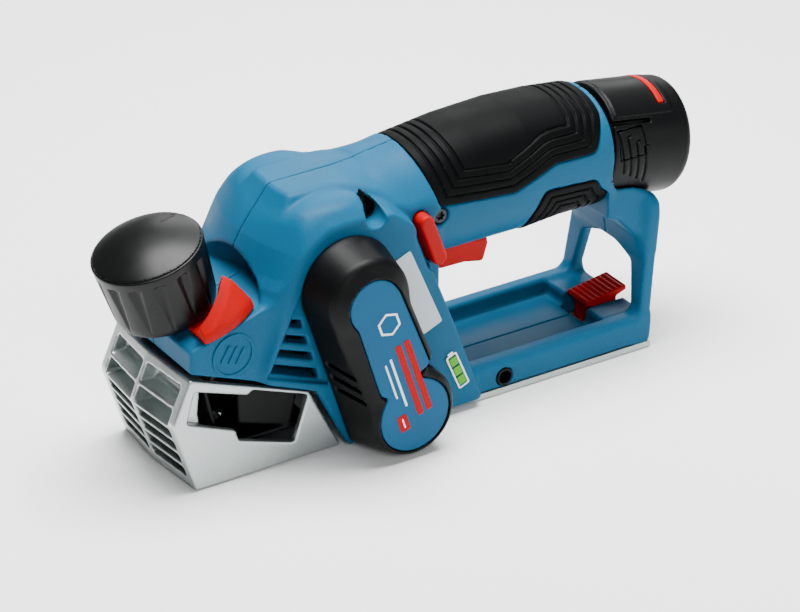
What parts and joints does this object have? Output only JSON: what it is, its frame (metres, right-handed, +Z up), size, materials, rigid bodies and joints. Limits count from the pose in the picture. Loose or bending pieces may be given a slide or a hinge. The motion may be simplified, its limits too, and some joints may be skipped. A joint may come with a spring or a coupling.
{
  "type": "electric hand planer",
  "caption": "Compact cordless hand planer with a belt-driven cutter drum, adjustable front shoe, arched grip and slide-out battery pack.",
  "frame": {"origin": "middle of the footprint, on the plane of the soles", "axes": "+X from the front shoe to the battery, +Y to the planer's right, +Z up from the sole"},
  "size_m": [0.2642, 0.087, 0.1144],
  "materials": {
    "blue_plastic": "lightly speckled moulded plastic",
    "black_plastic": "fine matt moulded plastic",
    "grip_rubber": "soft matt rubber",
    "red_plastic": "satin moulded plastic",
    "cast_aluminium": "satin die casting",
    "machined_steel": "turned and ground",
    "pale_plate": "satin blank label plate",
    "gauge_lens": "clear lens over green bars",
    "copper_winding": "enamelled windings",
    "board_green": "lacquered circuit board",
    "cell_wrap": "shrink-wrapped cells"
  },
  "bodies": {
    "machine": {"housing_left": "blue_plastic", "housing_right": "blue_plastic", "cover_panel": "blue_plastic", "belt_cover": "black_plastic", "chip_chute": "black_plastic", "guide_socket_left": "black_plastic", "guide_socket_right": "black_plastic", "switch_body": "black_plastic", "terminal_block": "black_plastic", "grip_pad_top": "grip_rubber", "grip_pad_lower": "grip_rubber", "drive_belt": "grip_rubber", "rear_sole": "cast_aluminium", "motor_bearing_left": "machined_steel", "motor_bearing_right": "machined_steel", "drum_bearing_left": "machined_steel", "drum_bearing_right": "machined_steel", "head_screw": "machined_steel", "grip_screw": "machined_steel", "sole_screw_1": "machined_steel", "sole_screw_2": "machined_steel", "sole_screw_3": "machined_steel", "sole_screw_4": "machined_steel", "trigger_pin": "machined_steel", "rest_pin": "machined_steel", "strip_plate": "pale_plate", "battery_gauge": "gauge_lens", "motor_stator": "copper_winding", "control_board": "board_green"},
    "shoe": {"front_shoe": "cast_aluminium"},
    "knob": {"depth_knob": "black_plastic", "knob_cap": "black_plastic", "depth_spindle": "machined_steel"},
    "selector": {"selector_lever": "red_plastic", "chip_deflector": "black_plastic"},
    "drum": {"cutter_drum": "cast_aluminium", "drum_blade": "machined_steel", "blade_clamp": "machined_steel", "clamp_screw_1": "machined_steel", "clamp_screw_2": "machined_steel", "clamp_screw_3": "machined_steel", "drum_pulley": "machined_steel"},
    "rotor": {"motor_rotor": "machined_steel", "motor_shaft": "machined_steel", "motor_fan": "black_plastic", "motor_pulley": "machined_steel"},
    "trigger": {"trigger": "red_plastic"},
    "lock_left": {"lock_button_left": "red_plastic"},
    "lock_right": {"lock_button_right": "red_plastic"},
    "battery": {"battery_case": "black_plastic", "battery_cap": "black_plastic", "battery_band": "red_plastic", "battery_cell_1": "cell_wrap", "battery_cell_2": "cell_wrap", "battery_cell_3": "cell_wrap"},
    "release_left": {"release_button_left": "black_plastic"},
    "release_right": {"release_button_right": "black_plastic"},
    "rest": {"parking_rest": "red_plastic"}
  },
  "joints": [
    {"name": "depth_slide", "type": "slide", "parent": "machine", "child": "shoe", "axis": [-0.2823, 0, 0.9593], "range_m": [0, 0.002]},
    {"name": "depth_turn", "type": "hinge", "parent": "machine", "child": "knob", "pos_m": [-0.1027, 0.01, 0.0655], "axis": [-0.2823, 0, 0.9593], "range_deg": [0, 330]},
    {"name": "selector_turn", "type": "hinge", "parent": "machine", "child": "selector", "pos_m": [-0.1027, 0.01, 0.0655], "axis": [-0.2823, 0, 0.9593], "range_deg": [0, 137]},
    {"name": "drum_spin", "type": "hinge", "parent": "machine", "child": "drum", "pos_m": [-0.0237, 0.01, 0.0195], "axis": [0, 1, 0], "continuous": true},
    {"name": "motor_spin", "type": "hinge", "parent": "machine", "child": "rotor", "pos_m": [-0.0412, 0.01, 0.071], "axis": [0, 1, 0], "continuous": true},
    {"name": "trigger_press", "type": "hinge", "parent": "machine", "child": "trigger", "pos_m": [0.0153, 0.01, 0.0605], "axis": [0, -1, 0], "range_deg": [0, 9], "stiffness_Nm_per_rad": 1.2},
    {"name": "lock_left_press", "type": "slide", "parent": "machine", "child": "lock_left", "axis": [0, 1, 0], "range_m": [0, 0.0025], "stiffness_N_per_m": 600},
    {"name": "lock_right_press", "type": "slide", "parent": "machine", "child": "lock_right", "axis": [0, -1, 0], "range_m": [0, 0.0025], "stiffness_N_per_m": 600},
    {"name": "battery_slide", "type": "slide", "parent": "machine", "child": "battery", "axis": [0.9976, 0, -0.0698], "range_m": [0, 0.08]},
    {"name": "release_left_press", "type": "slide", "parent": "battery", "child": "release_left", "axis": [0, 1, 0], "range_m": [0, 0.0015], "stiffness_N_per_m": 800},
    {"name": "release_right_press", "type": "slide", "parent": "battery", "child": "release_right", "axis": [0, -1, 0], "range_m": [0, 0.0015], "stiffness_N_per_m": 800},
    {"name": "rest_swing", "type": "hinge", "parent": "machine", "child": "rest", "pos_m": [0.1023, 0.01, 0.0085], "axis": [0, -1, 0], "range_deg": [0, 24], "stiffness_Nm_per_rad": 0.06}
  ],
  "couplings": [
    {"joint": "depth_turn", "follows": "depth_slide", "rad_per_m": 2879.8},
    {"joint": "motor_spin", "follows": "drum_spin", "ratio": 1.6}
  ]
}
